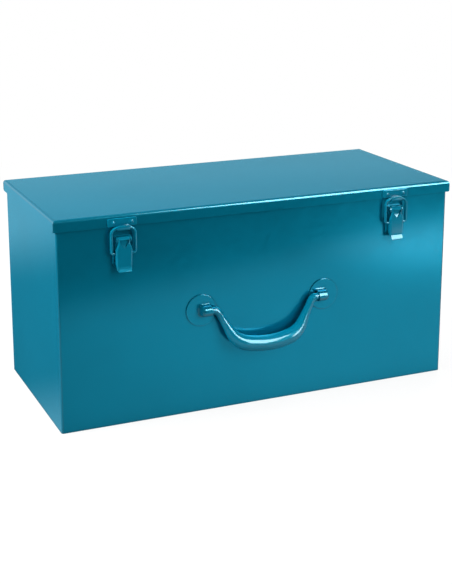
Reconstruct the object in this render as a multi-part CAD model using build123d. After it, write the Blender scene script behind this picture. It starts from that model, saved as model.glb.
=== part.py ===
"""Painted sheet-steel tool case: hinged lid, two toggle latches and a drop handle on the front.

Millimetres. Origin in the middle of the underside, +X to the right, front towards -Y, +Z up.
"""
import os
from math import asin, atan2, cos, degrees, hypot, radians, sin, sqrt

from build123d import *

# Body and lid
body_width = 550.0
body_depth = 244.0
case_height = 274.0
sheet = 1.0
wall_bend = 3.0
lid_bend = 4.0
lid_skirt = 15.0
lid_gap_ends = 2.5
lid_gap_front = 1.2
lid_seat_clearance = 0.3
lid_seam = 1.2
skirt_corner = 2.0
hem_depth = 8.0
hem_setback = 6.0
back_flange = 20.0
pan_flange = 12.0
pan_bend = 2.0
corner_relief = 6.0

# Rivets, all of one size
rivet_shank = 3.0
rivet_head = 5.6
rivet_head_rise = 1.2
rivet_tail = 5.0
rivet_tail_rise = 0.4
shank_clearance = 0.05

# Toggle latches
latch_inset = 83.0
pin_standoff = 5.5
pin_drop = 15.5
pin_diameter = 3.0
pin_clearance = 0.05
pin_head = 4.8
pin_head_rise = 1.0
lever_neck = 15.5
lever_width = 22.0
lever_tip_width = 19.6
lever_front = 10.5
lever_sheet = 1.5
lever_face_sheet = 1.6
lever_eye = 3.9
lever_neck_length = 4.5
lever_shoulder = 8.0
lever_length = 40.7
lever_brow = 40.0
lever_edge = 2.5
lever_shoulder_bend = 4.0
lever_lip_rise = 2.7
lever_lip_length = 8.5
lever_lip_width = 17.0
lever_corner = 2.0
lever_flange_rise = 13.6
lever_skin_rise = 6.4
recess_width = 12.6
recess_waist = 9.0
recess_length = 11.2
recess_depth = 2.0
recess_scoop = 7.5
recess_rim = 0.6
base_width = 25.0
base_sheet = 1.2
base_top_margin = 4.5
base_corner = 7.0
ear_sheet = 1.5
ear_radius = 4.0
ear_clearance = 0.4
base_rail_height = 4.0
base_rail_length = 22.0
base_rail_clearance = 0.3
base_rivet_drop = 13.0
base_rivet_pitch = 17.0
bail_wire = 3.6
bail_width = 34.5
bail_drop = 17.5
bail_standoff = 6.4
bail_bar_drop = 0.8
bail_top_bend = 8.0
bail_foot_bend = 3.0
bail_foot_reach = 1.8
keeper_width = 38.0
keeper_sheet = 1.6
keeper_edge = 0.6
keeper_corner = 2.0
keeper_margin = 0.5
keeper_tongue = 16.0
keeper_tongue_drop = 3.3
keeper_toe_rise = 0.5
keeper_rivet_spacing = 24.0

# Drop handle
handle_height = 137.0
handle_standoff = 6.8
handle_eye_spacing = 167.0
handle_tilt = 9.0
handle_eye_diameter = 10.0
handle_grip_diameter = 20.4
handle_elbow = 68.5
handle_elbow_bend = 11.0
handle_knee = 43.0
handle_knee_drop = 46.0
handle_knee_bend = 34.0
handle_drop = 53.5
handle_bow_bend = 120.0
handle_end_gap = 0.5
handle_end_round = 2.0
handle_stations = 40
loop_length = 14.0
loop_sheet = 1.6
loop_end_sheet = 2.0
loop_end_round = 3.5
loop_root_bend = 2.2
loop_clearance = 0.3
plate_diameter = 42.0
plate_offset = 4.0
plate_sheet = 1.5
plate_edge = 0.8
backing_width = 232.0
backing_height = 56.0
backing_sheet = 1.5

# Rear hinges
hinge_inset = 105.0
hinge_length = 50.0
hinge_sheet = 1.2
hinge_pin = 4.0
hinge_pin_clearance = 0.05
hinge_drop = 4.0
hinge_middle = 16.4
hinge_axial_gap = 0.3
hinge_leaf_drop = 30.0
hinge_leaf_gap = 0.4
hinge_rivet_spacing = 34.0
hinge_body_rivet_drop = 18.0
hinge_lid_margin = 1.0
lid_opening = 105.0
stop_reach = 8.0
stop_sheet = 2.4
stop_width = 12.0
stop_clearance = 0.35

# Places worked out from the sizes above
half_width = body_width / 2
half_depth = body_depth / 2
latch_offset = half_width - latch_inset
hinge_offset = half_width - hinge_inset
lid_half_width = half_width + lid_gap_ends + sheet
lid_half_depth = half_depth + lid_gap_front + sheet
skirt_bottom = case_height - lid_skirt
skirt_flat_top = case_height - lid_bend
lid_bend_inside = lid_bend - sheet
hem_inset = max(lid_bend_inside - lid_gap_front - sheet, 0.0)
hem_reach = lid_bend_inside - sheet - lid_seat_clearance
wall_top = skirt_flat_top + sqrt(hem_reach ** 2 - hem_inset ** 2)
back_face = half_depth - sheet
skirt_standoff = lid_gap_front + sheet
keeper_front = skirt_standoff + keeper_sheet
keeper_bottom = skirt_bottom + keeper_margin
keeper_top = skirt_flat_top - keeper_margin / 2
keeper_rivet_height = (keeper_bottom + keeper_top) / 2
pin_height = skirt_bottom - pin_drop
bail_foot_height = pin_height - bail_drop
bail_bar_height = skirt_bottom - bail_bar_drop
lever_tip = pin_height - lever_length
brow_top = pin_height + lever_eye * cos(radians(lever_brow))
brow_standoff = pin_standoff + lever_eye * sin(radians(lever_brow))
brow_bottom = brow_top - (lever_front - brow_standoff)
handle_eye = handle_eye_spacing / 2
hinge_knuckle = hinge_pin / 2 + hinge_sheet
hinge_y = lid_half_depth + hinge_knuckle
hinge_z = skirt_bottom - hinge_drop
hinge_lid_rivet_height = (skirt_bottom + skirt_flat_top) / 2

# Front views look along +Y at the front wall; side views have their first axis pointing out of it
front_wall = Plane(origin=(0, -half_depth, 0), x_dir=(1, 0, 0), z_dir=(0, -1, 0))
side_view = Plane(origin=(0, -half_depth, 0), x_dir=(0, -1, 0), z_dir=(-1, 0, 0))
outward = (0, -1, 0)
backward = (0, 1, 0)


def block(x0, x1, y0, y1, z0, z1):
    """Box between two corners."""
    return Pos((x0 + x1) / 2, (y0 + y1) / 2, (z0 + z1) / 2) * Box(x1 - x0, y1 - y0, z1 - z0)


def bar_x(radius, x0, x1, y, z):
    """Round bar along X."""
    return Pos((x0 + x1) / 2, y, z) * Rot(0, 90, 0) * Cylinder(radius, x1 - x0)


def front_y(standoff):
    """Y of a point that stands off the front wall."""
    return -half_depth - standoff


def front_plate(face, standoff, thickness):
    """Plate cut to a front view, its back at the given stand-off."""
    return extrude(front_wall.offset(standoff) * face, amount=thickness)


def side_prism(face, half_length):
    """Prism of a side view, centred on X = 0."""
    return extrude(side_view * face, amount=half_length, both=True)


def hole(point, direction, diameter, depth):
    """Drill for a hole through thin sheet."""
    return Plane(origin=point, z_dir=direction) * Cylinder(diameter / 2, depth)


def rivet(point, direction, grip):
    """Round-head rivet: its head sits on the point and its tail is the grip length behind it."""
    head_radius = rivet_head / 2
    dome = (head_radius ** 2 + rivet_head_rise ** 2) / (2 * rivet_head_rise)
    dome_middle = (head_radius / 2, rivet_head_rise - dome + sqrt(dome ** 2 - head_radius ** 2 / 4))
    tail_end = -grip - rivet_tail_rise
    outline = ThreePointArc((0, rivet_head_rise), dome_middle, (head_radius, 0)) + Polyline(
        (head_radius, 0),
        (rivet_shank / 2, 0),
        (rivet_shank / 2, -grip),
        (rivet_tail / 2, -grip),
        (rivet_tail / 2, tail_end),
        (0, tail_end),
        (0, rivet_head_rise),
    )
    solid = revolve(make_face(Plane.XZ * outline), Axis.Z)
    return Plane(origin=point, z_dir=direction) * solid


def rivet_hole(point, direction, grip):
    """Clearance hole for such a rivet."""
    return hole(point, direction, rivet_shank + 2 * shank_clearance, 4 * grip)


# Rivet places: head seat of each rivet, shared by the rivets and their holes
def latch_base_rivet_points(side):
    first = pin_height - base_rivet_drop
    heights = (first, first - base_rivet_pitch)
    return [(side * latch_offset, front_y(base_sheet), height) for height in heights]


def keeper_rivet_points(side):
    half = keeper_rivet_spacing / 2
    return [(side * latch_offset + dx, front_y(keeper_front), keeper_rivet_height) for dx in (-half, half)]


def hinge_body_rivet_points(side):
    half = hinge_rivet_spacing / 2
    height = hinge_z - hinge_body_rivet_drop
    return [(side * hinge_offset + dx, back_face + hinge_sheet, height) for dx in (-half, half)]


def hinge_lid_rivet_points(side):
    half = hinge_rivet_spacing / 2
    face = lid_half_depth + hinge_sheet
    return [(side * hinge_offset + dx, face, hinge_lid_rivet_height) for dx in (-half, half)]


def hem_x(x0, x1, y):
    """Folded top edge of a wall that runs along X, two sheets thick and round on top."""
    fold = bar_x(sheet, x0, x1, y, wall_top)
    return block(x0, x1, y - sheet, y + sheet, wall_top - hem_depth, wall_top) + fold


def hem_y(y0, y1, x):
    """Folded top edge of a wall that runs along Y."""
    cap = Pos(x, (y0 + y1) / 2, wall_top) * Rot(90, 0, 0) * Cylinder(sheet, y1 - y0)
    return block(x - sheet, x + sheet, y0, y1, wall_top - hem_depth, wall_top) + cap


def make_front_wrap():
    """Front and both ends from one bent sheet, with flanges round the back corners."""
    outer = RectangleRounded(body_width, body_depth, wall_bend)
    inner = RectangleRounded(body_width - 2 * sheet, body_depth - 2 * sheet, wall_bend - sheet)
    walls = extrude(outer - inner, amount=wall_top)
    opening = half_width - back_flange
    walls -= block(-opening, opening, back_face - sheet, half_depth + sheet, -sheet, wall_top + sheet)
    reach = half_width - hem_setback
    walls += hem_x(-reach, reach, -half_depth + sheet)
    for side in (-1, 1):
        walls += hem_y(-half_depth + hem_setback, half_depth - hem_setback, side * (half_width - sheet))
        for point in latch_base_rivet_points(side):
            walls -= rivet_hole(point, outward, base_sheet + sheet)
    return walls


def make_back_panel():
    """Rear wall, welded inside the flanges of the wrap."""
    reach = half_width - wall_bend - lid_seat_clearance
    panel = block(-reach, reach, back_face - sheet, back_face, 0, wall_top)
    hem_end = half_width - hem_setback
    panel += hem_x(-hem_end, hem_end, back_face - sheet)
    for side in (-1, 1):
        for point in hinge_body_rivet_points(side):
            panel -= rivet_hole(point, backward, hinge_sheet + sheet)
    return panel


def make_floor_pan():
    """Floor with turned-up flanges on all four sides and cut-away corners."""
    x = half_width - sheet
    front = -half_depth + sheet
    rear = back_face - sheet
    outer = block(-x, x, front, rear, 0, pan_flange)
    outer = fillet(outer.edges().group_by(Axis.Z)[0], pan_bend)
    inner = block(-x + sheet, x - sheet, front + sheet, rear - sheet, sheet, pan_flange + pan_bend)
    inner = fillet(inner.edges().group_by(Axis.Z)[0], pan_bend - sheet)
    pan = outer - inner
    for corner_x in (-x, x):
        for corner_y in (front, rear):
            notch = Box(2 * corner_relief, 2 * corner_relief, 4 * pan_flange)
            pan -= Pos(corner_x, corner_y, 0) * notch
    return pan


def rounded_channel(half, bottom, top, bend):
    """Section of the lid: straight sides, flat top, round upper corners."""
    section = Pos(0, (bottom + top) / 2) * Rectangle(2 * half, top - bottom)
    return fillet(section.vertices().group_by(Axis.Y)[-1], bend)


def lid_block(half_x, half_y, bottom, top, bend):
    """Block with its four upper edges rounded and its upright edges sharp."""
    across = extrude(Plane.YZ * rounded_channel(half_y, bottom, top, bend), amount=half_x, both=True)
    along = extrude(Plane.XZ * rounded_channel(half_x, bottom, top, bend), amount=half_y, both=True)
    return across & along


def make_lid_shell():
    """Lid pan. Its end skirts stop short of the front and rear ones, which leaves open corner seams."""
    shell = lid_block(lid_half_width, lid_half_depth, skirt_bottom, case_height, lid_bend)
    shell -= lid_block(
        lid_half_width - sheet,
        lid_half_depth - sheet,
        skirt_bottom - lid_skirt,
        case_height - sheet,
        lid_bend_inside,
    )
    inside_x = lid_half_width - sheet
    inside_y = lid_half_depth - sheet
    for side in (-1, 1):
        x0, x1 = sorted((side * (inside_x - sheet), side * (lid_half_width + sheet)))
        for end in (-1, 1):
            y0, y1 = sorted((end * inside_y, end * (inside_y - lid_seam)))
            shell -= block(x0, x1, y0, y1, skirt_bottom - sheet, skirt_flat_top)
    tips = shell.edges().filter_by(Axis.Y).group_by(Axis.Z)[0]
    tips = tips.filter_by(lambda edge: abs(edge.center().X) > lid_half_width - sheet / 4)
    tips = tips.filter_by(lambda edge: edge.length < 2 * sheet)
    shell = fillet(tips, skirt_corner)
    for side in (-1, 1):
        for point in keeper_rivet_points(side):
            shell -= rivet_hole(point, outward, keeper_sheet + sheet)
        for point in hinge_lid_rivet_points(side):
            shell -= rivet_hole(point, backward, hinge_sheet + sheet)
    return shell


def make_keeper(side):
    """Catch plate with a tongue that stands behind the bail's bar."""
    wing = Pos(0, (keeper_bottom + keeper_top) / 2) * Rectangle(keeper_width, keeper_top - keeper_bottom)
    wing = fillet(wing.vertices(), keeper_corner)
    tongue_bottom = keeper_bottom - keeper_tongue_drop - bail_wire / 2
    tongue = Pos(0, (tongue_bottom + keeper_top) / 2) * Rectangle(keeper_tongue, keeper_top - tongue_bottom)
    tongue = fillet(tongue.vertices().group_by(Axis.Y)[0], keeper_corner)
    plate = front_plate(wing + tongue, skirt_standoff, keeper_sheet)
    front_edges = plate.faces().sort_by(Axis.Y)[0].edges()
    plate = fillet(front_edges, keeper_edge)
    toe_half = keeper_tongue / 2 - keeper_corner
    toe_front = front_y(keeper_front + keeper_toe_rise)
    toe_top = tongue_bottom + keeper_corner
    plate += block(-toe_half, toe_half, toe_front, front_y(skirt_standoff), tongue_bottom, toe_top)
    keeper = Pos(side * latch_offset, 0, 0) * plate
    for point in keeper_rivet_points(side):
        keeper -= rivet_hole(point, outward, keeper_sheet + sheet)
    return keeper


def make_latch_base(side):
    """Bracket on the front wall: plate, two ears for the pivot pin and two low rails beside the lever."""
    top = pin_height + base_top_margin
    bottom = pin_height - lever_length + base_corner / 2
    plate = Pos(0, (top + bottom) / 2) * Rectangle(base_width, top - bottom)
    plate = fillet(plate.vertices().group_by(Axis.Y)[0], base_corner)
    base = front_plate(plate, 0, base_sheet)
    ear = Pos(pin_standoff / 2, pin_height) * Rectangle(pin_standoff, 2 * ear_radius)
    ear += Pos(pin_standoff, pin_height) * Circle(ear_radius)
    ear_inside = lever_neck / 2 + ear_clearance
    rail_inside = lever_width / 2 + base_rail_clearance
    rail_bottom = bottom + base_corner
    for end in (-1, 1):
        base += Pos(end * (ear_inside + ear_sheet / 2), 0, 0) * side_prism(ear, ear_sheet / 2)
        x0, x1 = sorted((end * rail_inside, end * base_width / 2))
        rail_top = rail_bottom + base_rail_length
        base += block(x0, x1, front_y(base_rail_height), front_y(0), rail_bottom, rail_top)
    pin_radius = pin_diameter / 2 + pin_clearance
    base -= bar_x(pin_radius, -base_width, base_width, front_y(pin_standoff), pin_height)
    base = Pos(side * latch_offset, 0, 0) * base
    for point in latch_base_rivet_points(side):
        base -= rivet_hole(point, outward, base_sheet + sheet)
    return base


def make_lever_pin(side):
    """Pivot pin with a small head outside each ear."""
    reach = lever_neck / 2 + ear_clearance + ear_sheet
    centre = (front_y(pin_standoff), pin_height)
    pin = bar_x(pin_diameter / 2, -reach - pin_head_rise, reach + pin_head_rise, *centre)
    for end in (-1, 1):
        x0, x1 = sorted((end * reach, end * (reach + pin_head_rise)))
        pin += bar_x(pin_head / 2, x0, x1, *centre)
    return Pos(side * latch_offset, 0, 0) * pin


def lever_outline(inset, tip_extension):
    """Front view of the lever: narrow neck and wide shoulders, then slightly narrower towards the tip."""
    neck = lever_neck / 2 - inset
    wide = lever_width / 2 - inset
    tip = lever_tip_width / 2 - inset
    neck_bottom = pin_height - lever_neck_length
    right = [
        (neck, pin_height + 2 * lever_eye),
        (neck, neck_bottom),
        (wide, neck_bottom - lever_shoulder),
        (tip, lever_tip - tip_extension),
    ]
    left = [(-x, z) for x, z in reversed(right)]
    face = make_face(Polyline(*right, *left, close=True))
    shoulders = face.vertices().sort_by(Axis.Y)[2:-2]
    return fillet(shoulders, lever_shoulder_bend)


def lever_side():
    """Side view of the lever's body: round eye about the pin, sloping brow, flat face and side flange."""
    back = pin_standoff - lever_eye
    skin_back = lever_front - lever_face_sheet
    face_end = lever_tip + lever_lip_length / 3
    flange_end = (back, lever_tip + lever_flange_rise)
    crown = (pin_standoff, pin_height + lever_eye)
    outline = (
        Line(flange_end, (back, pin_height))
        + ThreePointArc((back, pin_height), crown, (brow_standoff, brow_top))
        + Polyline(
            (brow_standoff, brow_top),
            (lever_front, brow_bottom),
            (lever_front, face_end),
            (skin_back, face_end),
            (skin_back, lever_tip + lever_skin_rise),
            flange_end,
        )
    )
    return make_face(outline)


def lever_lip_side():
    """Side view of the lip, a strip that curls out of the face at the tip."""
    curl = 2 * atan2(lever_lip_rise, lever_lip_length)
    outer_top = (lever_front, lever_tip + lever_lip_length)
    outer_tip = (lever_front + lever_lip_rise, lever_tip + lever_face_sheet * sin(curl))
    inner_tip = (outer_tip[0] - lever_face_sheet * cos(curl), lever_tip)
    inner_top = (lever_front - lever_face_sheet, outer_top[1])
    outline = (
        TangentArc(outer_top, outer_tip, tangent=(0, -1))
        + Line(outer_tip, inner_tip)
        + TangentArc(inner_top, inner_tip, tangent=(0, -1))
        + Line(inner_top, outer_top)
    )
    return make_face(outline)


def recess_wedge():
    """Side view of the recess: its floor scoops forward to the point of the shield."""
    floor = lever_front - recess_depth
    top = brow_bottom - recess_rim
    bottom = top - recess_length
    outline = (
        TangentArc((floor, bottom + recess_scoop), (lever_front, bottom), tangent=(0, -1))
        + Polyline(
            (lever_front, bottom),
            (2 * lever_front, bottom),
            (2 * lever_front, top),
            (floor, top),
            (floor, bottom + recess_scoop),
        )
    )
    return make_face(outline)


def recess_shield():
    """Front view of the recess."""
    top = brow_bottom - recess_rim
    right = [(recess_width / 2, top), (recess_waist / 2, top - recess_length / 2)]
    left = [(-x, z) for x, z in reversed(right)]
    face = make_face(Polyline(*right, (0, top - recess_length), *left, close=True))
    return fillet(face.vertices().sort_by(Axis.Y)[:3], lever_corner)


def make_latch_lever(side):
    """Pressed lever: a channel with rounded front edges, a thumb lip and a scooped recess."""
    reach = lever_width
    depth = 2 * (lever_front + lever_lip_rise)
    lever = side_prism(lever_side(), reach) & front_plate(lever_outline(0, 0), 0, depth)
    front_edges = lever.faces().sort_by(Axis.Y)[0].edges()
    lever = fillet(front_edges.filter_by(Axis.X, reverse=True), lever_edge)
    lip_middle = lever_tip + lever_lip_length / 2
    lip = Pos(0, lip_middle) * Rectangle(lever_lip_width, lever_lip_length)
    lip = fillet(lip.vertices().group_by(Axis.Y)[0], lever_corner)
    lever += side_prism(lever_lip_side(), reach) & front_plate(lip, 0, depth)

    # Hollow behind the face, which follows the recess
    recess_bottom = brow_bottom - recess_rim - recess_length
    back = pin_standoff - lever_eye - sheet
    inside = lever_front - lever_face_sheet
    deep = lever_front - recess_depth - lever_sheet
    ceiling = pin_height + lever_eye - lever_sheet
    open_end = lever_tip - lever_length
    pocket = make_face(
        Polyline(
            (back, open_end),
            (inside, open_end),
            (inside, recess_bottom),
            (deep, recess_bottom + recess_scoop),
            (deep, pin_height),
            (pin_standoff, ceiling),
            (back, ceiling),
            close=True,
        )
    )
    inner_outline = lever_outline(lever_sheet, lever_length)
    lever -= side_prism(pocket, reach) & front_plate(inner_outline, -sheet, depth)
    lever -= side_prism(recess_wedge(), reach) & front_plate(recess_shield(), 0, depth)

    # Holes for the pivot pin and the feet of the bail
    lever -= bar_x(pin_diameter / 2 + pin_clearance, -reach, reach, front_y(pin_standoff), pin_height)
    foot_radius = bail_wire / 2 + pin_clearance
    lever -= bar_x(foot_radius, -reach, reach, front_y(bail_standoff), bail_foot_height)
    return Pos(side * latch_offset, 0, 0) * lever


def make_latch_bail(side):
    """Wire loop: two feet in the lever's sides, two legs and an arched bar."""
    leg = (bail_width - bail_wire) / 2
    foot = lever_width / 2 - bail_foot_reach
    right = [(foot, bail_foot_height), (leg, bail_foot_height), (leg, bail_bar_height)]
    left = [(-x, z) for x, z in reversed(right)]
    bends = [bail_foot_bend, bail_top_bend, bail_top_bend, bail_foot_bend]
    path = front_wall.offset(bail_standoff) * FilletPolyline(*right, *left, radius=bends)
    section = Plane(origin=path @ 0, z_dir=path % 0) * Circle(bail_wire / 2)
    return Pos(side * latch_offset, 0, 0) * sweep(section, path=path)


def make_handle_bracket(side):
    """Round plate with a half-round pocket pressed out of it, closed at its outer end, for the handle's end."""
    disc = Pos(side * plate_offset, handle_height) * Circle(plate_diameter / 2)
    plate = front_plate(disc, 0, plate_sheet)
    plate = fillet(plate.faces().sort_by(Axis.Y)[0].edges(), plate_edge)
    inner = handle_eye_diameter / 2 + loop_clearance
    outer = inner + loop_sheet

    def loop(radius, start):
        root = Rectangle(handle_standoff - start, 2 * radius)
        root = Pos((start + handle_standoff) / 2, handle_height) * root
        return root + Pos(handle_standoff, handle_height) * Circle(radius)

    pocket = side_prism(loop(outer, 0), loop_length / 2)
    closed_end = pocket.faces().sort_by(lambda face: side * face.center().X)[-1]
    pocket = fillet(closed_end.edges().sort_by(Axis.Y)[0], loop_end_round)
    bracket = plate + pocket

    # The bend at the pocket's root, along both sides and round its closed end
    plate_face = front_y(plate_sheet)
    root_edges = [
        edge
        for edge in bracket.edges()
        if abs(edge.bounding_box().min.Y - plate_face) < 0.01
        and abs(edge.bounding_box().max.Y - plate_face) < 0.01
        and side * edge.center().X > 0.01 - loop_length / 2
        and abs(edge.center().Z - handle_height) < outer + 0.01
        and abs(edge.center().X) < loop_length / 2 + 0.01
    ]
    bracket = fillet(root_edges, loop_root_bend)
    bore = side_prism(loop(inner, -sheet), loop_length / 2)
    bracket -= Pos(-side * loop_end_sheet, 0, 0) * bore
    bracket -= block(-plate_diameter, plate_diameter, front_y(0), front_y(-handle_standoff), 0, case_height)
    return Pos(side * handle_eye, 0, 0) * bracket


def make_carry_handle():
    """Round bar through both loops, swelling along the legs into a thicker, slightly bowed grip."""
    eye_radius = handle_eye_diameter / 2
    grip_radius = handle_grip_diameter / 2
    right = [(handle_elbow, 0), (handle_knee, -handle_knee_drop)]
    left = [(-x, z) for x, z in reversed(right)]
    loop_inside = handle_eye - loop_length / 2
    start = (loop_inside, 0)
    corners = [start, *right, (0, -handle_drop), *left, (-loop_inside, 0)]
    bends = [handle_elbow_bend, handle_knee_bend, handle_bow_bend, handle_knee_bend, handle_elbow_bend]
    path = Plane.XZ * FilletPolyline(*corners, radius=bends)

    # Sections along the bar: eye thickness to just past the elbow, full thickness from the knee on
    elbow_end = (handle_elbow_bend + loop_inside - handle_elbow) / path.length
    knee_end = elbow_end + (sqrt((handle_elbow - handle_knee) ** 2 + handle_knee_drop ** 2)) / path.length
    sections = []
    for index in range(handle_stations + 1):
        along = index / handle_stations
        swell = min(max((min(along, 1 - along) - elbow_end) / (knee_end - elbow_end), 0.0), 1.0)
        swell = swell * swell * (3 - 2 * swell)
        radius = eye_radius + (grip_radius - eye_radius) * swell
        section_plane = Plane(origin=path @ along, x_dir=outward, z_dir=path % along)
        sections.append(section_plane * Circle(radius))
    handle = loft(sections)

    end = handle_eye + loop_length / 2 - loop_end_sheet - handle_end_gap
    for side in (-1, 1):
        x0, x1 = sorted((side * loop_inside, side * end))
        tip = bar_x(eye_radius, x0, x1, 0, 0)
        rim = tip.edges().sort_by(lambda edge: side * edge.center().X)[-1]
        handle += fillet(rim, handle_end_round)
    return Pos(0, front_y(handle_standoff), handle_height) * Rot(-handle_tilt, 0, 0) * handle


def make_handle_backing_plate():
    """Doubler welded behind the front wall, between and behind the brackets."""
    inside = front_y(-sheet)
    return block(
        -backing_width / 2,
        backing_width / 2,
        inside,
        inside + backing_sheet,
        handle_height - backing_height / 2,
        handle_height + backing_height / 2,
    )


def knuckle(x0, x1):
    """Hinge knuckle before its bore is cut."""
    return bar_x(hinge_knuckle, x0, x1, hinge_y, hinge_z)


def hinge_bore():
    """Bore for the hinge pin, through a whole leaf."""
    return bar_x(hinge_pin / 2 + hinge_pin_clearance, -hinge_length, hinge_length, hinge_y, hinge_z)


def make_hinge_body_leaf(side):
    """Leaf on the rear wall, with the two outer knuckles."""
    half = hinge_length / 2
    gap = hinge_middle / 2 + hinge_axial_gap
    top = hinge_z - hinge_knuckle + hinge_sheet
    leaf = block(-half, half, back_face, back_face + hinge_sheet, hinge_z - hinge_leaf_drop, top)
    for end in (-1, 1):
        x0, x1 = sorted((end * gap, end * half))
        leaf += knuckle(x0, x1)
        leaf += block(x0, x1, back_face, hinge_y, hinge_z - hinge_knuckle, top)
    leaf = Pos(side * hinge_offset, 0, 0) * (leaf - hinge_bore())
    for point in hinge_body_rivet_points(side):
        leaf -= rivet_hole(point, backward, hinge_sheet + sheet)
    return leaf


def stop_angle():
    """Angle of the stop tang above +Y with the lid shut: fully open, it meets the leaf on the rear wall."""
    room = hinge_y - back_face - hinge_sheet - stop_clearance
    lean = asin(room / hypot(stop_reach, stop_sheet / 2)) - atan2(stop_sheet / 2, stop_reach)
    return lid_opening - 90 - degrees(lean)


def make_hinge_lid_leaf(side):
    """Leaf on the lid's rear skirt, with the middle knuckle and the tang that stops the lid."""
    half = hinge_length / 2
    middle = hinge_middle / 2
    top = skirt_flat_top - hinge_lid_margin
    face = lid_half_depth
    leaf = block(-half, half, face, face + hinge_sheet, hinge_z + hinge_knuckle + hinge_leaf_gap, top)
    leaf += block(-middle, middle, face, face + hinge_sheet, hinge_z, top)
    leaf += knuckle(-middle, middle)
    root = (hinge_pin / 2 + hinge_knuckle) / 2
    tang = block(-stop_width / 2, stop_width / 2, root, stop_reach, -stop_sheet / 2, stop_sheet / 2)
    leaf += Pos(0, hinge_y, hinge_z) * Rot(stop_angle(), 0, 0) * tang
    leaf = Pos(side * hinge_offset, 0, 0) * (leaf - hinge_bore())
    for point in hinge_lid_rivet_points(side):
        leaf -= rivet_hole(point, backward, hinge_sheet + sheet)
    return leaf


def make_hinge_pin(side):
    """Hinge pin, as long as the hinge."""
    half = hinge_length / 2
    return Pos(side * hinge_offset, 0, 0) * bar_x(hinge_pin / 2, -half, half, hinge_y, hinge_z)


def both_sides(place, direction, grip):
    """Four rivets of one kind, two on each side of the case."""
    return Compound(children=[rivet(point, direction, grip) for side in (-1, 1) for point in place(side)])


def make_nodes():
    """Every piece under its node name."""
    nodes = {
        "front_wrap": make_front_wrap(),
        "back_panel": make_back_panel(),
        "floor_pan": make_floor_pan(),
        "lid_shell": make_lid_shell(),
        "handle_backing_plate": make_handle_backing_plate(),
        "carry_handle": make_carry_handle(),
        "latch_base_rivets": both_sides(latch_base_rivet_points, outward, base_sheet + sheet),
        "keeper_rivets": both_sides(keeper_rivet_points, outward, keeper_sheet + sheet),
        "hinge_body_rivets": both_sides(hinge_body_rivet_points, backward, hinge_sheet + sheet),
        "hinge_lid_rivets": both_sides(hinge_lid_rivet_points, backward, hinge_sheet + sheet),
    }
    for name, side in (("left", -1), ("right", 1)):
        nodes[f"{name}_handle_bracket"] = make_handle_bracket(side)
        nodes[f"{name}_keeper"] = make_keeper(side)
        nodes[f"{name}_latch_base"] = make_latch_base(side)
        nodes[f"{name}_lever_pin"] = make_lever_pin(side)
        nodes[f"{name}_latch_lever"] = make_latch_lever(side)
        nodes[f"{name}_latch_bail"] = make_latch_bail(side)
        nodes[f"{name}_hinge_body_leaf"] = make_hinge_body_leaf(side)
        nodes[f"{name}_hinge_lid_leaf"] = make_hinge_lid_leaf(side)
        nodes[f"{name}_hinge_pin"] = make_hinge_pin(side)
    return nodes


os.makedirs("parts", exist_ok=True)
for node_name, shape in make_nodes().items():
    export_step(shape, f"parts/{node_name}.step")
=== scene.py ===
"""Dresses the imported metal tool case: glossy teal enamel in a pale studio."""

import math

import bmesh
import bpy
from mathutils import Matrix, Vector


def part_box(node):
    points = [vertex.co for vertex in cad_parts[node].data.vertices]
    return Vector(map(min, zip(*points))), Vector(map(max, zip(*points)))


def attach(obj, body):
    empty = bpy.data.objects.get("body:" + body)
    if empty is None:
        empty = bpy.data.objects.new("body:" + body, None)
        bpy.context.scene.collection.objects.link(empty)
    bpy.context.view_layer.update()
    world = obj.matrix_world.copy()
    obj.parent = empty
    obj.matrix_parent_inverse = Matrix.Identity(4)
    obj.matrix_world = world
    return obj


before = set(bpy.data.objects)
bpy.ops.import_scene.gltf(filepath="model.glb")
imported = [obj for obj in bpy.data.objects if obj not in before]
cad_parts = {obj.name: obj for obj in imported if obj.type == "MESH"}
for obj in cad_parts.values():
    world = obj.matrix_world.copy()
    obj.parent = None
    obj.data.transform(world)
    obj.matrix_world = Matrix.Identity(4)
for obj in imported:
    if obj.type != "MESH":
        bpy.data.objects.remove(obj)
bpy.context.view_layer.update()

bl_info = {
    "name": "Metal tool case",
    "version": (1, 0, 0),
    "blender": (4, 5, 0),
    "location": "View3D > Sidebar > Tool case",
    "description": "Enamel and studio for the packed tool case",
    "category": "Object",
}

SHEET_PIECES = (
    "front_wrap",
    "back_panel",
    "floor_pan",
    "handle_backing_plate",
    "lid_shell",
    "left_handle_bracket",
    "right_handle_bracket",
)

# Pairs hold a first and a last value: as a measure goes over one pair, its effect goes over another
MASK = (0.0, 1.0)
NOISE_SPREAD = (0.3, 0.7)

# Enamel on the flat
MOTTLE = (0.965, 1.035)
GLOSS_WANDER = (0.88, 1.12)
GLOSS_TINT = (0.1, 0.85, 1.0, 1.0)
GLAZE_IOR = 1.5
LACQUER_ROUGHNESS = 0.06

# Enamel on edges, lighter there as partly thin enamel and partly painted highlight, and painted shade in
# crevices
EDGE_LEAN = (0.995, 0.8)
EDGE_THINNING_AND_HIGHLIGHT = (0.0, 0.7)
BREAK_SPREAD = (0.35, 0.6)
BREAK_SHARE = (0.3, 1.0)
PAINTED_SHADE_REACH = 0.006
PAINTED_SHADE_OPENNESS = (0.35, 0.95)
PAINTED_SHADE_LEVELS = (0.6, 1.0)

# Enamel over bends and on undersides: flake and lacquer as shares of the flat's, and roughness that is added
BEND_SQUARENESS = (0.999, 0.97)
BEND_FLAKE = 0.35
UNDERSIDE_TILT = (-0.03, -0.5)
UNDERSIDE_FLAKE = 0.2
UNDERSIDE_LACQUER = 0.1
UNDERSIDE_ROUGHNESS = 0.3

# Making of a keeper's lip
TURN_STEPS = 14
LEAN_SHARE = 0.08
ROUNDED_SHARE = 0.3
MERGE_DISTANCE = 0.000001
SHARP_CORNER = math.radians(60.0)
CREASE = math.radians(35.0)

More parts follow.
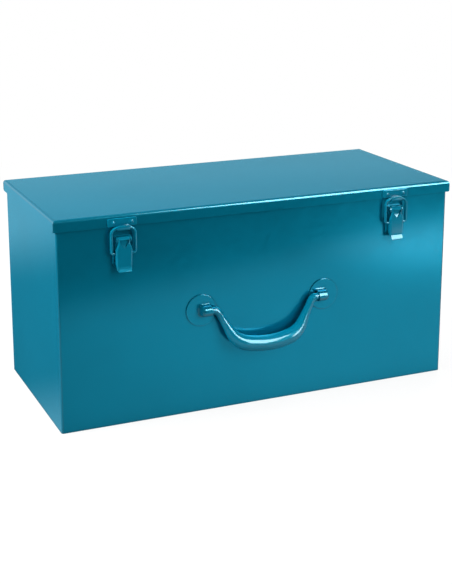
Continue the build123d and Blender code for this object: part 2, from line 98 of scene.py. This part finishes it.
# Light that the paint mirrors from the table: places in metres, and strengths
TABLE_EDGE_ACROSS = (0.276, 1.0, 0.0)
TABLE_EDGE = (-0.72, -0.56)
POOL_MIDDLE = (0.62, -0.76, 0.0)
POOL_REACH = (0.28, 0.04)
POOL_LIGHT = (0.95, 3.8)
LEFT_REACH = (-0.35, 0.15)
LEFT_LIGHT = (0.55, 1.0)
FOOT_REACH = (-0.2, 0.1)
FOOT_LIGHT = (1.0, 0.0)
FAR_REACH = (0.5, 0.95)
FAR_LIGHT = (0.0, 0.46)
TABLE_LEAST = 0.05

# The table itself: its grey for the light and for the camera, and how its shadow fades into plain white
FLOOR_HALF = 12.0
FLOOR_DROP = 0.0005
FLOOR_GREY = (0.16, 0.95)
PLAIN_REACH = (0.6, 1.5)
PLAIN_SHARE = (0.9, 1.0)

# The air: its plain light, and the room with a low bright wall behind the case that the paint mirrors
WHITE = (1.0, 1.0, 1.0, 1.0)
AIR_LIGHT = 0.16
WALL_SLOPE = (0.0, 1.0, -4.44)
WALL_LOWNESS = (-0.17, 0.01)
WALL_LIGHT = (0.2, 0.62)
ROOM_DEPTH = (-0.4, 0.7)
ROOM_LEAST = 0.08

# Soft boxes: one of the two keys lights the case and the other shows in its gloss
LAMP_TARGET = Vector((0.0, 0.0, 0.15))
LAMPS = {
    "key": {"place": (1.0, -1.95, 1.1), "size": (1.1, 1.9), "watts": 27.0, "mirrored": False},
    "key_gloss": {"place": (1.2, -1.75, 1.2), "size": (0.9, 1.9), "watts": 90.0, "lights": False},
    "overhead": {"place": (0.1, 0.1, 1.9), "size": (1.2, 0.8), "watts": 20.0, "mirrored": False},
    "side": {"place": (-2.2, 0.2, 1.2), "size": (1.4, 1.0), "watts": 112.0, "mirrored": False},
    "behind": {"place": (1.9, 2.1, 1.3), "size": (1.4, 1.0), "watts": 60.0, "mirrored": False},
}

SENSOR_WIDTH = 36.0


class EnamelSettings(bpy.types.PropertyGroup):
    """The stoved enamel on the sheets and the fittings"""

    colour: bpy.props.FloatVectorProperty(
        name="Colour",
        description="Colour of the enamel",
        subtype="COLOR",
        size=3,
        min=0.0,
        max=1.0,
        default=(0.0, 0.23, 0.37),
    )
    # Lighter than the colour: partly enamel drawn thin at edges, partly painted highlight along them
    thin_and_highlit_colour: bpy.props.FloatVectorProperty(
        name="Thin and highlit colour",
        description="Colour of the enamel where it has drawn back from an edge",
        subtype="COLOR",
        size=3,
        min=0.0,
        max=1.0,
        default=(0.015, 0.3, 0.43),
    )
    gloss: bpy.props.FloatProperty(
        name="Gloss",
        description="Roughness of the enamel before it varies",
        subtype="FACTOR",
        min=0.0,
        max=1.0,
        default=0.2,
    )
    sheet_sheen: bpy.props.FloatProperty(
        name="Sheet sheen",
        description="Specular level of the enamel on the sheets",
        subtype="FACTOR",
        min=0.0,
        max=1.0,
        default=0.5,
    )
    fitting_sheen: bpy.props.FloatProperty(
        name="Fitting sheen",
        description="Specular level of the enamel on the fittings",
        subtype="FACTOR",
        min=0.0,
        max=1.0,
        default=0.25,
    )
    sheet_flake: bpy.props.FloatProperty(
        name="Sheet flake",
        description="Share of the light that the sheets mirror in the colour of the enamel",
        subtype="FACTOR",
        min=0.0,
        max=1.0,
        default=0.45,
    )
    fitting_flake: bpy.props.FloatProperty(
        name="Fitting flake",
        description="Share of the light that the fittings mirror in the colour of the enamel",
        subtype="FACTOR",
        min=0.0,
        max=1.0,
        default=0.03,
    )
    sheet_lacquer: bpy.props.FloatProperty(
        name="Sheet lacquer",
        description="Strength of the clear gloss on the flat of the sheets",
        subtype="FACTOR",
        min=0.0,
        max=1.0,
        default=0.12,
    )
    # Painted shade: the colour is darkened over the bends of the sheets, standing in for the dark room that
    # they mirror
    bend_painted_shade: bpy.props.FloatProperty(
        name="Bend painted shade",
        description="How much of its colour the enamel keeps where it is stretched thin over a bend",
        subtype="FACTOR",
        min=0.0,
        max=1.0,
        default=0.6,
    )
    bend_lacquer: bpy.props.FloatProperty(
        name="Bend lacquer",
        description="Strength of the clear gloss on the bends of the sheets",
        subtype="FACTOR",
        min=0.0,
        max=1.0,
        default=0.56,
    )
    fitting_lacquer: bpy.props.FloatProperty(
        name="Fitting lacquer",
        description="Strength of the clear gloss on the fittings, which run thicker",
        subtype="FACTOR",
        min=0.0,
        max=1.0,
        default=0.52,
    )
    # These reaches set how wide the lighter edges are, which are partly painted highlight
    sheet_edge: bpy.props.FloatProperty(
        name="Sheet edge",
        description="How far the enamel draws back from an edge of the sheets",
        unit="LENGTH",
        min=0.0,
        default=0.0012,
    )
    fitting_edge: bpy.props.FloatProperty(
        name="Fitting edge",
        description="How far the enamel draws back from an edge of the fittings",
        unit="LENGTH",
        min=0.0,
        default=0.0006,
    )
    peel_size: bpy.props.FloatProperty(
        name="Peel size",
        description="Distance between the bumps of the orange peel",
        unit="LENGTH",
        min=0.0005,
        default=0.0022,
    )
    peel_depth: bpy.props.FloatProperty(
        name="Peel depth",
        description="Depth of the orange peel",
        unit="LENGTH",
        min=0.000001,
        default=0.00002,
    )
    sheet_wave: bpy.props.FloatProperty(
        name="Sheet wave",
        description="Depth of the slow waves that thin sheet has after bending",
        unit="LENGTH",
        min=0.0,
        default=0.0006,
    )


class LipSettings(bpy.types.PropertyGroup):
    """The lip of each keeper, which holds the bar of the bail"""

    width: bpy.props.FloatProperty(
        name="Width",
        description="Width of the lip",
        unit="LENGTH",
        default=0.0165,
    )
    sheet: bpy.props.FloatProperty(
        name="Sheet",
        description="Thickness of the lip",
        unit="LENGTH",
        default=0.0012,
    )
    play: bpy.props.FloatProperty(
        name="Play",
        description="Gap between the lip and the bar",
        unit="LENGTH",
        default=0.00035,
    )
    rise: bpy.props.FloatProperty(
        name="Rise",
        description="Height of the lip above the middle of the bar",
        unit="LENGTH",
        default=0.0032,
    )
    corner: bpy.props.FloatProperty(
        name="Corner",
        description="How far the rounding of the lip's upper corners reaches",
        unit="LENGTH",
        default=0.0022,
    )


class CameraSettings(bpy.types.PropertyGroup):
    """The camera's place and lens"""

    azimuth: bpy.props.FloatProperty(
        name="Azimuth",
        description="Turn of the camera round the case, to the left where negative",
        subtype="ANGLE",
        default=-0.4088,
    )
    elevation: bpy.props.FloatProperty(
        name="Elevation",
        description="Height of the camera above the horizon",
        subtype="ANGLE",
        default=0.2303,
    )
    distance: bpy.props.FloatProperty(
        name="Distance",
        description="Distance of the camera from the point that it looks at",
        unit="LENGTH",
        default=1.70793,
    )
    aim_height: bpy.props.FloatProperty(
        name="Aim height",
        description="Height of the point that the camera looks at",
        unit="LENGTH",
        default=0.25637,
    )
    lens: bpy.props.FloatProperty(
        name="Lens",
        description="Focal length in millimetres",
        unit="CAMERA",
        default=76.943,
    )
    shift: bpy.props.FloatProperty(
        name="Shift",
        description="Vertical shift of the lens",
        default=-0.17,
    )


def new_group(name, inputs, outputs):
    """An empty shader node group with named sockets"""
    group = bpy.data.node_groups.new(name, "ShaderNodeTree")
    for label, kind, default in inputs:
        socket = group.interface.new_socket(label, in_out="INPUT", socket_type=kind)
        socket.default_value = default
    for label, kind in outputs:
        group.interface.new_socket(label, in_out="OUTPUT", socket_type=kind)
    entry = group.nodes.new("NodeGroupInput")
    result = group.nodes.new("NodeGroupOutput")
    return group, entry.outputs, result.inputs


def plug(tree, sockets, values):
    """Sets sockets to plain values or links them to other sockets, by name or number"""
    for key, value in values.items():
        if isinstance(value, bpy.types.NodeSocket):
            tree.links.new(value, sockets[key])
        else:
            sockets[key].default_value = value


def add_node(tree, kind, values=(), **settings):
    """A node with its settings, and with the values of its inputs plugged in"""
    node = tree.nodes.new(kind)
    for key, value in settings.items():
        setattr(node, key, value)
    plug(tree, node.inputs, dict(values))
    return node


def ramp(tree, value, reach, levels, blend="LINEAR"):
    """Goes from the first level to the last as the value crosses its reach"""
    limits = {
        "Value": value,
        "From Min": reach[0],
        "From Max": reach[1],
        "To Min": levels[0],
        "To Max": levels[1],
    }
    return add_node(tree, "ShaderNodeMapRange", limits, interpolation_type=blend).outputs["Result"]


def soft_ramp(tree, value, reach, levels):
    """A ramp that eases in and out"""
    return ramp(tree, value, reach, levels, blend="SMOOTHSTEP")


def arithmetic(tree, operation, *values):
    """Output of a Math node"""
    return add_node(tree, "ShaderNodeMath", enumerate(values), operation=operation).outputs[0]


def product(tree, first, *others):
    """Values multiplied one after the other"""
    for other in others:
        first = arithmetic(tree, "MULTIPLY", first, other)
    return first


def dot(tree, first, second):
    """Dot product of two vectors"""
    vectors = {0: first, 1: second}
    return add_node(tree, "ShaderNodeVectorMath", vectors, operation="DOT_PRODUCT").outputs["Value"]


def split(tree, vector):
    """The three parts of a vector"""
    return add_node(tree, "ShaderNodeSeparateXYZ", {"Vector": vector}).outputs


def mix(tree, factor, first, second):
    """A number between two others"""
    values = {"Factor": factor, 2: first, 3: second}
    return add_node(tree, "ShaderNodeMix", values, data_type="FLOAT").outputs[0]


def noise(tree, place, scale, detail, roughness):
    """Smooth noise, with its scale in waves to the metre"""
    values = {"Vector": place, "Scale": scale, "Detail": detail, "Roughness": roughness}
    return add_node(tree, "ShaderNodeTexNoise", values).outputs["Fac"]


def enamel_skin_group():
    """Peel, mottling and uneven gloss of sprayed enamel, with painted shade in crevices and over bends,
    lighter edges that are partly painted highlight, and masks for its bends and its dull undersides
    """
    colour = "NodeSocketColor"
    number = "NodeSocketFloat"
    group, given, result = new_group(
        "enamel_skin",
        (
            ("Colour", colour, (0.0, 0.2, 0.3, 1.0)),
            ("Thin And Highlit Colour", colour, (0.0, 0.25, 0.35, 1.0)),
            ("Roughness", number, 0.3),
            ("Peel Size", number, 0.002),
            ("Edge Reach", number, 0.0008),
            ("Wave", number, 0.0),
            ("Bend Painted Shade", number, 1.0),
        ),
        (("Colour", colour), ("Roughness", number), ("Height", number), ("Bend", number), ("Dull", number)),
    )
    coordinates = add_node(group, "ShaderNodeTexCoord").outputs
    place = coordinates["Object"]
    normal = coordinates["Normal"]
    peel_scale = arithmetic(group, "DIVIDE", 1.0, given["Peel Size"])
    peel = noise(group, place, scale=peel_scale, detail=1.5, roughness=0.45)
    cloud = noise(group, place, scale=9.0, detail=3.0, roughness=0.55)
    speck = noise(group, place, scale=160.0, detail=2.0, roughness=0.6)
    swell = noise(group, place, scale=6.0, detail=0.0, roughness=0.5)
    height = arithmetic(group, "MULTIPLY_ADD", swell, given["Wave"], peel)

    # Lighter colour along edges: partly thin enamel, partly painted highlight
    rounded = add_node(group, "ShaderNodeBevel", {"Radius": given["Edge Reach"]}, samples=6).outputs["Normal"]
    flat = add_node(group, "ShaderNodeNewGeometry").outputs["Normal"]
    edge = ramp(group, dot(group, rounded, flat), EDGE_LEAN, EDGE_THINNING_AND_HIGHLIGHT)
    drawn_back_and_highlit = product(group, edge, ramp(group, speck, BREAK_SPREAD, BREAK_SHARE))
    tinted = add_node(
        group,
        "ShaderNodeMix",
        {"Factor": drawn_back_and_highlit, 6: given["Colour"], 7: given["Thin And Highlit Colour"]},
        data_type="RGBA",
    ).outputs[2]

    square = add_node(group, "ShaderNodeVectorMath", {0: normal}, operation="ABSOLUTE").outputs["Vector"]
    along_x, along_y, along_z = split(group, square)
    squareness = arithmetic(group, "MAXIMUM", arithmetic(group, "MAXIMUM", along_x, along_y), along_z)
    bend = soft_ramp(group, squareness, BEND_SQUARENESS, MASK)
    dull = soft_ramp(group, split(group, normal)["Z"], UNDERSIDE_TILT, MASK)

    # Painted shade: ambient occlusion darkens the colour in crevices, under the lid's skirt and round the
    # fittings
    openness = add_node(group, "ShaderNodeAmbientOcclusion", {"Distance": PAINTED_SHADE_REACH}, samples=8)
    # Mottling is the enamel's own random tone; the crevice and bend factors darken it as painted shade
    mottle_and_painted_shade = product(
        group,
        ramp(group, cloud, NOISE_SPREAD, MOTTLE),
        ramp(group, openness.outputs["AO"], PAINTED_SHADE_OPENNESS, PAINTED_SHADE_LEVELS),
        soft_ramp(group, bend, MASK, (1.0, given["Bend Painted Shade"])),
    )
    shaded = add_node(group, "ShaderNodeVectorMath", {0: tinted, "Scale": mottle_and_painted_shade}, operation="SCALE")

    gloss = product(group, given["Roughness"], ramp(group, speck, NOISE_SPREAD, GLOSS_WANDER))
    overspray = product(group, dull, UNDERSIDE_ROUGHNESS)
    outputs = {
        "Colour": shaded.outputs["Vector"],
        "Roughness": arithmetic(group, "ADD", gloss, overspray),
        "Height": height,
        "Bend": bend,
        "Dull": dull,
    }
    plug(group, result, outputs)
    return group


def enamel(name, edge_reach, wave, sheen, flake, lacquer, bend_lacquer, bend_painted_shade):
    """Glossy teal enamel, duller on undersides, with bends that can have a lacquer of their own"""
    settings = bpy.context.scene.tool_case_enamel
    material = bpy.data.materials.new(name)
    material.use_nodes = True
    tree = material.node_tree
    skin_values = {
        "Colour": (*settings.colour, 1.0),
        "Thin And Highlit Colour": (*settings.thin_and_highlit_colour, 1.0),
        "Roughness": settings.gloss,
        "Peel Size": settings.peel_size,
        "Edge Reach": edge_reach,
        "Wave": wave / settings.peel_depth,
        "Bend Painted Shade": bend_painted_shade,
    }
    skin_group = bpy.data.node_groups.get("enamel_skin") or enamel_skin_group()
    skin = add_node(tree, "ShaderNodeGroup", skin_values, node_tree=skin_group).outputs
    relief = {"Strength": 1.0, "Distance": settings.peel_depth, "Height": skin["Height"]}
    flake_share = soft_ramp(tree, skin["Dull"], MASK, (flake, UNDERSIDE_FLAKE * flake))
    lacquer_share = soft_ramp(tree, skin["Dull"], MASK, (lacquer, UNDERSIDE_LACQUER * lacquer))
    if bend_lacquer != lacquer:
        flake_share = soft_ramp(tree, skin["Bend"], MASK, (flake_share, BEND_FLAKE * flake))
        lacquer_share = soft_ramp(tree, skin["Bend"], MASK, (lacquer_share, bend_lacquer))
    finish = {
        "Base Color": skin["Colour"],
        "Metallic": flake_share,
        "Roughness": skin["Roughness"],
        "IOR": GLAZE_IOR,
        "Normal": add_node(tree, "ShaderNodeBump", relief).outputs["Normal"],
        "Specular IOR Level": sheen,
        "Specular Tint": GLOSS_TINT,
        "Coat Weight": lacquer_share,
        "Coat Roughness": LACQUER_ROUGHNESS,
        "Coat IOR": GLAZE_IOR,
    }
    plug(tree, tree.nodes["Principled BSDF"].inputs, finish)
    return material


def paint_node(node, material):
    """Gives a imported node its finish"""
    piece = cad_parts[node]
    for slot in piece.material_slots:
        slot.material = material


class TOOLCASE_OT_paint_sheets(bpy.types.Operator):
    """Enamels the walls, the floor, the lid, the doubler and the handle's plates"""

    bl_idname = "tool_case.paint_sheets"
    bl_label = "Paint the sheets"

    def execute(self, context):
        settings = context.scene.tool_case_enamel
        material = enamel(
            "sheet_enamel",
            edge_reach=settings.sheet_edge,
            wave=settings.sheet_wave,
            sheen=settings.sheet_sheen,
            flake=settings.sheet_flake,
            lacquer=settings.sheet_lacquer,
            bend_lacquer=settings.bend_lacquer,
            bend_painted_shade=settings.bend_painted_shade,
        )
        for node in SHEET_PIECES:
            paint_node(node, material)
        return {"FINISHED"}


class TOOLCASE_OT_paint_fittings(bpy.types.Operator):
    """Enamels the latches, the handle, the hinges and the rivets"""

    bl_idname = "tool_case.paint_fittings"
    bl_label = "Paint the fittings"

    def execute(self, context):
        settings = context.scene.tool_case_enamel
        material = enamel(
            "fitting_enamel",
            edge_reach=settings.fitting_edge,
            wave=0.0,
            sheen=settings.fitting_sheen,
            flake=settings.fitting_flake,
            lacquer=settings.fitting_lacquer,
            bend_lacquer=settings.fitting_lacquer,
            bend_painted_shade=1.0,
        )
        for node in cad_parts:
            if node not in SHEET_PIECES:
                paint_node(node, material)
        return {"FINISHED"}


def bail_bar(node):
    """Middle and radius of the straight bar at the top of a bail"""
    low, high = (Vector(corner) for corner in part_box(node))
    radius = (high.y - low.y) / 2
    return Vector(((low.x + high.x) / 2, (low.y + high.y) / 2, high.z - radius)), radius


def only_edges(items):
    """The edges among the items that a mesh operator gives back"""
    return [item for item in items if isinstance(item, bmesh.types.BMEdge)]


def pull(strip, edge, vector):
    """Extrudes an edge of the strip, and gives the edge at the far end"""
    grown = bmesh.ops.extrude_edge_only(strip, edges=[edge])["geom"]
    corners = [item for item in grown if isinstance(item, bmesh.types.BMVert)]
    bmesh.ops.translate(strip, verts=corners, vec=vector)
    return next(item for item in only_edges(grown) if set(item.verts) == set(corners))


def round_off(strip, items, affect, offset, segments):
    """Bevels edges or corners of the strip"""
    bmesh.ops.bevel(
        strip,
        geom=items,
        affect=affect,
        offset=offset,
        segments=segments,
        profile=0.5,
        material=-1,
    )


def make_keeper_lip(name, bail_node):
    """Strip that leaves the keeper's tongue behind the bar, turns under it and stands up in front of it"""
    settings = bpy.context.scene.tool_case_lips
    middle, radius = bail_bar(bail_node)
    strip = bmesh.new()
    ends = []
    for side in (-0.5, 0.5):
        start = Vector((side * settings.width, radius + settings.play, settings.rise))
        ends.append(strip.verts.new(middle + start))
    edge = strip.edges.new(ends)
    edge = pull(strip, edge, Vector((0.0, 0.0, -settings.rise)))
    spun = bmesh.ops.spin(
        strip,
        geom=[edge, *edge.verts],
        cent=middle,
        axis=(1.0, 0.0, 0.0),
        angle=-math.pi,
        steps=TURN_STEPS,
    )["geom_last"]
    edge = only_edges(spun)[0]
    edge = pull(strip, edge, Vector((0.0, -LEAN_SHARE * settings.rise, settings.rise)))
    round_off(strip, list(edge.verts), "VERTICES", settings.corner, segments=5)
    bmesh.ops.remove_doubles(strip, verts=strip.verts, dist=MERGE_DISTANCE)
    bmesh.ops.recalc_face_normals(strip, faces=strip.faces)
    inwards = sum(face.normal.dot(middle - face.calc_center_median()) for face in strip.faces)
    if inwards > 0.0:
        bmesh.ops.reverse_faces(strip, faces=strip.faces)
    bmesh.ops.solidify(strip, geom=strip.faces[:], thickness=-settings.sheet)
    bmesh.ops.recalc_face_normals(strip, faces=strip.faces)
    sharp = [item for item in strip.edges if item.is_manifold and item.calc_face_angle() > SHARP_CORNER]
    round_off(strip, sharp, "EDGES", ROUNDED_SHARE * settings.sheet, segments=2)
    mesh = bpy.data.meshes.new(name)
    strip.to_mesh(mesh)
    strip.free()
    mesh.shade_smooth()
    mesh.set_sharp_from_angle(angle=CREASE)
    mesh.materials.append(bpy.data.materials["fitting_enamel"])
    lip = bpy.data.objects.new(name, mesh)
    bpy.context.scene.collection.objects.link(lip)
    return lip


class TOOLCASE_OT_make_keeper_lips(bpy.types.Operator):
    """Adds the lip of each keeper in front of the bail's bar"""

    bl_idname = "tool_case.make_keeper_lips"
    bl_label = "Make the keeper lips"

    def execute(self, context):
        for side in ("left", "right"):
            lip = make_keeper_lip(f"{side}_keeper_lip", f"{side}_latch_bail")
            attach(lip, "lid")
        return {"FINISHED"}


def add_camera():
    """The camera at the photograph's viewing angle"""
    settings = bpy.context.scene.tool_case_camera
    level = math.cos(settings.elevation)
    back = Vector(
        (
            math.sin(settings.azimuth) * level,
            -math.cos(settings.azimuth) * level,
            math.sin(settings.elevation),
        )
    )
    data = bpy.data.cameras.new("camera")
    data.lens = settings.lens
    data.sensor_width = SENSOR_WIDTH
    data.shift_y = settings.shift
    camera = bpy.data.objects.new("camera", data)
    camera.location = Vector((0.0, 0.0, settings.aim_height)) + back * settings.distance
    camera.rotation_euler = back.to_track_quat("Z", "Y").to_euler()
    bpy.context.scene.collection.objects.link(camera)
    bpy.context.scene.camera = camera


def add_lamp(name, place, size, watts, lights=True, mirrored=True):
    """A soft box that faces the case, and lights it, shows in its gloss, or both"""
    data = bpy.data.lights.new(name, "AREA")
    data.shape = "RECTANGLE"
    data.size, data.size_y = size
    data.energy = watts
    lamp = bpy.data.objects.new(name, data)
    lamp.location = place
    lamp.rotation_euler = (Vector(place) - LAMP_TARGET).to_track_quat("Z", "Y").to_euler()
    lamp.visible_diffuse = lights
    lamp.visible_glossy = mirrored
    bpy.context.scene.collection.objects.link(lamp)


def mirror_rays(tree):
    """Masks of the rays straight from the camera, and of those that a glossy or clear face sends on"""
    path = add_node(tree, "ShaderNodeLightPath").outputs
    mirrored = arithmetic(tree, "MAXIMUM", path["Is Glossy Ray"], path["Is Transmission Ray"])
    return path["Is Camera Ray"], mirrored


def table_light(tree, place):
    """Brightness of the table in the paint: it ends softly in front, has a lit pool and dims behind"""
    on_table = soft_ramp(tree, dot(tree, place, TABLE_EDGE_ACROSS), TABLE_EDGE, MASK)
    away = add_node(tree, "ShaderNodeVectorMath", {0: place, 1: POOL_MIDDLE}, operation="DISTANCE")
    pool = soft_ramp(tree, away.outputs["Value"], POOL_REACH, POOL_LIGHT)
    across = split(tree, place)
    left = soft_ramp(tree, across["X"], LEFT_REACH, LEFT_LIGHT)
    foot = soft_ramp(tree, across["Y"], FOOT_REACH, FOOT_LIGHT)
    far = soft_ramp(tree, across["Y"], FAR_REACH, FAR_LIGHT)
    near = product(tree, on_table, pool, left, foot)
    return arithmetic(tree, "ADD", arithmetic(tree, "ADD", near, far), TABLE_LEAST)


def floor_material():
    """White table that keeps the shadow of the case"""
    material = bpy.data.materials.new("studio_floor")
    material.use_nodes = True
    tree = material.node_tree
    tree.nodes.clear()
    output = tree.nodes.new("ShaderNodeOutputMaterial")
    camera_ray, mirrored = mirror_rays(tree)
    place = add_node(tree, "ShaderNodeTexCoord").outputs["Object"]
    strength = mix(tree, mirrored, 1.0, table_light(tree, place))
    white = add_node(tree, "ShaderNodeEmission", {"Color": WHITE, "Strength": strength}).outputs[0]
    grey = ramp(tree, camera_ray, MASK, FLOOR_GREY)
    shaded = add_node(tree, "ShaderNodeBsdfDiffuse", {"Color": grey}).outputs[0]
    distance = add_node(tree, "ShaderNodeVectorMath", {0: place}, operation="LENGTH").outputs["Value"]
    seen = product(tree, camera_ray, soft_ramp(tree, distance, PLAIN_REACH, PLAIN_SHARE))
    share = arithmetic(tree, "MAXIMUM", seen, mirrored)
    mixed = add_node(tree, "ShaderNodeMixShader", {0: share, 1: shaded, 2: white}).outputs[0]
    tree.links.new(mixed, output.inputs["Surface"])
    return material


def studio_air():
    """White behind the case, a plain level of light, and a room with a bright wall for the paint to mirror"""
    world = bpy.data.worlds.new("studio_air")
    world.use_nodes = True
    tree = world.node_tree
    camera_ray, mirrored = mirror_rays(tree)
    direction = add_node(tree, "ShaderNodeTexCoord").outputs["Generated"]
    wall = soft_ramp(tree, dot(tree, direction, WALL_SLOPE), WALL_LOWNESS, WALL_LIGHT)
    room = soft_ramp(tree, split(tree, direction)["Y"], ROOM_DEPTH, (ROOM_LEAST, wall))
    level = mix(tree, mirrored, AIR_LIGHT, room)
    background = {"Color": WHITE, "Strength": mix(tree, camera_ray, level, 1.0)}
    plug(tree, tree.nodes["Background"].inputs, background)
    return world


def add_floor():
    """The table, just under the case so that the two don't share a plane"""
    sheet = bmesh.new()
    bmesh.ops.create_grid(sheet, x_segments=1, y_segments=1, size=FLOOR_HALF)
    bmesh.ops.translate(sheet, verts=sheet.verts, vec=(0.0, 0.0, -FLOOR_DROP))
    mesh = bpy.data.meshes.new("studio_floor")
    sheet.to_mesh(mesh)
    sheet.free()
    mesh.materials.append(floor_material())
    floor = bpy.data.objects.new("studio_floor", mesh)
    bpy.context.scene.collection.objects.link(floor)


class TOOLCASE_OT_set_studio(bpy.types.Operator):
    """Sets up the floor, the light and the camera"""

    bl_idname = "tool_case.set_studio"
    bl_label = "Set up the studio"

    def execute(self, context):
        context.scene.view_settings.view_transform = "Standard"
        context.scene.world = studio_air()
        add_floor()
        for name, lamp in LAMPS.items():
            add_lamp(name, **lamp)
        add_camera()
        return {"FINISHED"}


class TOOLCASE_PT_panel(bpy.types.Panel):
    """Lists the settings and the steps"""

    bl_idname = "TOOLCASE_PT_panel"
    bl_label = "Tool case"
    bl_space_type = "VIEW_3D"
    bl_region_type = "UI"
    bl_category = "Tool case"

    def draw(self, context):
        for group in SETTINGS:
            settings = getattr(context.scene, group)
            box = self.layout.box()
            for name in settings.__annotations__:
                box.prop(settings, name)
        for operator in OPERATORS:
            self.layout.operator(operator.bl_idname)


SETTINGS = {
    "tool_case_enamel": EnamelSettings,
    "tool_case_lips": LipSettings,
    "tool_case_camera": CameraSettings,
}
OPERATORS = (
    TOOLCASE_OT_paint_sheets,
    TOOLCASE_OT_paint_fittings,
    TOOLCASE_OT_make_keeper_lips,
    TOOLCASE_OT_set_studio,
)


def register():
    """Makes the settings, the operators and the panel known to Blender"""
    for item in (*SETTINGS.values(), *OPERATORS, TOOLCASE_PT_panel):
        bpy.utils.register_class(item)
    for name, group in SETTINGS.items():
        setattr(bpy.types.Scene, name, bpy.props.PointerProperty(type=group))


def unregister():
    """Takes back what register did"""
    for name in SETTINGS:
        delattr(bpy.types.Scene, name)
    for item in (TOOLCASE_PT_panel, *OPERATORS, *SETTINGS.values()):
        bpy.utils.unregister_class(item)


def main():
    """Dresses the case"""
    register()
    bpy.ops.tool_case.paint_sheets()
    bpy.ops.tool_case.paint_fittings()
    bpy.ops.tool_case.make_keeper_lips()
    bpy.ops.tool_case.set_studio()


if __name__ == "__main__":
    main()
